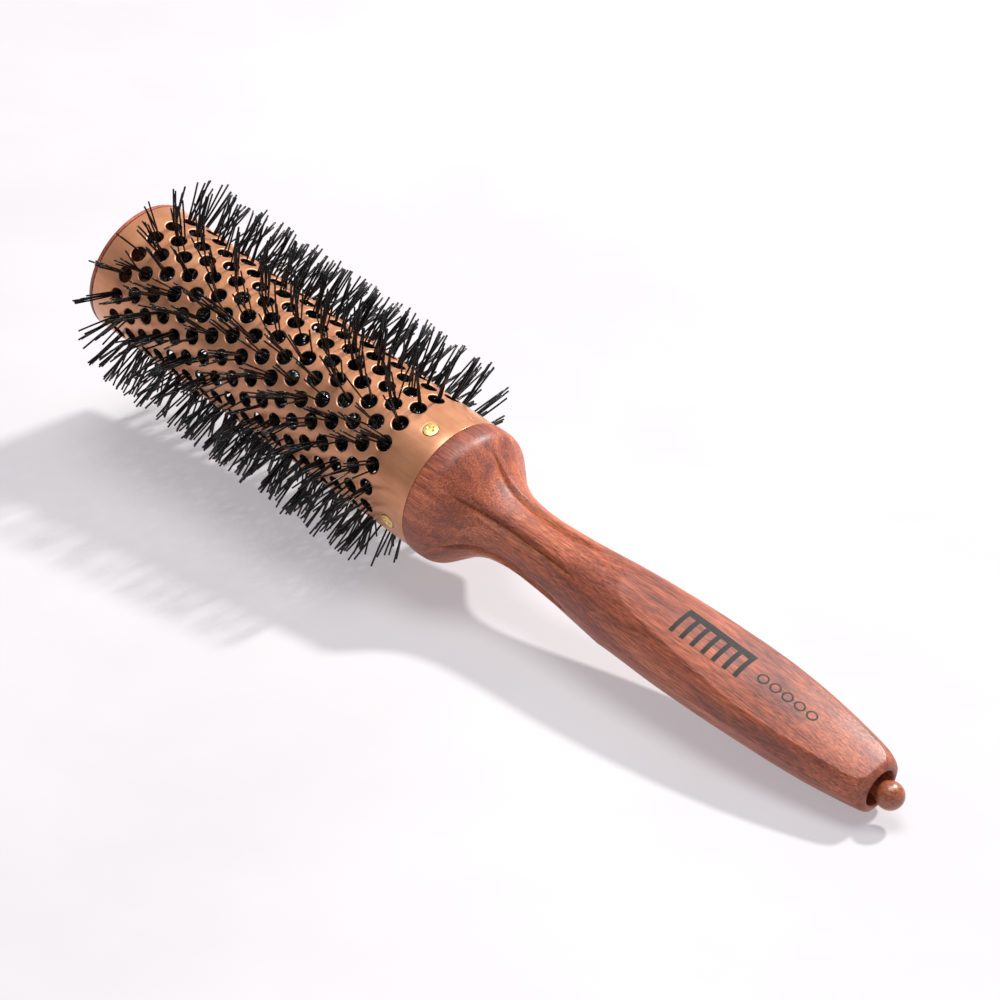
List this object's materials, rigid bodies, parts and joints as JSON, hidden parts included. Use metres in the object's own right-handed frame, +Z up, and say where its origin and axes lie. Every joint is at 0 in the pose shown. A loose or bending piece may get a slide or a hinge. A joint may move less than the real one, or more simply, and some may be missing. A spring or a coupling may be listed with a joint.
{
  "type": "round barrel hair brush",
  "caption": "Vented round brush: perforated metal barrel with rows of nylon bristles on a twisted wire core, turned wooden handle, and a pick that draws out of the tail.",
  "frame": {"origin": "centre of the footprint, on the counter the brush lies on", "axes": "+X from the barrel's capped end towards the tail of the handle, +Z up from the counter; the brush's own axis lies in the XZ plane and slopes 7.65 degrees down towards the tail"},
  "size_m": [0.2514, 0.0556, 0.0671],
  "materials": {
    "barrel_coating": "satin copper-beige coating on thin aluminium",
    "handle_wood": "reddish-brown hardwood, satin lacquer",
    "knob_wood": "lighter hardwood, glossier lacquer",
    "bristle_nylon": "glossy black nylon",
    "brass": "polished",
    "core_wire": "drawn wire",
    "pin_steel": "polished"
  },
  "bodies": {
    "brush": {"end_cap": "handle_wood", "barrel_tube": "barrel_coating", "core_wire_a": "core_wire", "core_wire_b": "core_wire", "bristle_ring_01": "bristle_nylon", "bristle_ring_02": "bristle_nylon", "bristle_ring_03": "bristle_nylon", "bristle_ring_04": "bristle_nylon", "bristle_ring_05": "bristle_nylon", "bristle_ring_06": "bristle_nylon", "bristle_ring_07": "bristle_nylon", "bristle_ring_08": "bristle_nylon", "bristle_ring_09": "bristle_nylon", "bristle_ring_10": "bristle_nylon", "bristle_ring_11": "bristle_nylon", "bristle_ring_12": "bristle_nylon", "bristle_ring_13": "bristle_nylon", "bristle_ring_14": "bristle_nylon", "bristle_ring_15": "bristle_nylon", "bristle_ring_16": "bristle_nylon", "bristle_ring_17": "bristle_nylon", "bristle_ring_18": "bristle_nylon", "screw_1": "brass", "screw_2": "brass", "screw_3": "brass", "screw_4": "brass", "handle": "handle_wood"},
    "pick": {"pick_knob": "knob_wood", "pick_pin": "pin_steel"}
  },
  "joints": [
    {"name": "pick_slide", "type": "slide", "parent": "brush", "child": "pick", "axis": [0.9911, 0, -0.1331], "range_m": [0, 0.078]}
  ]
}
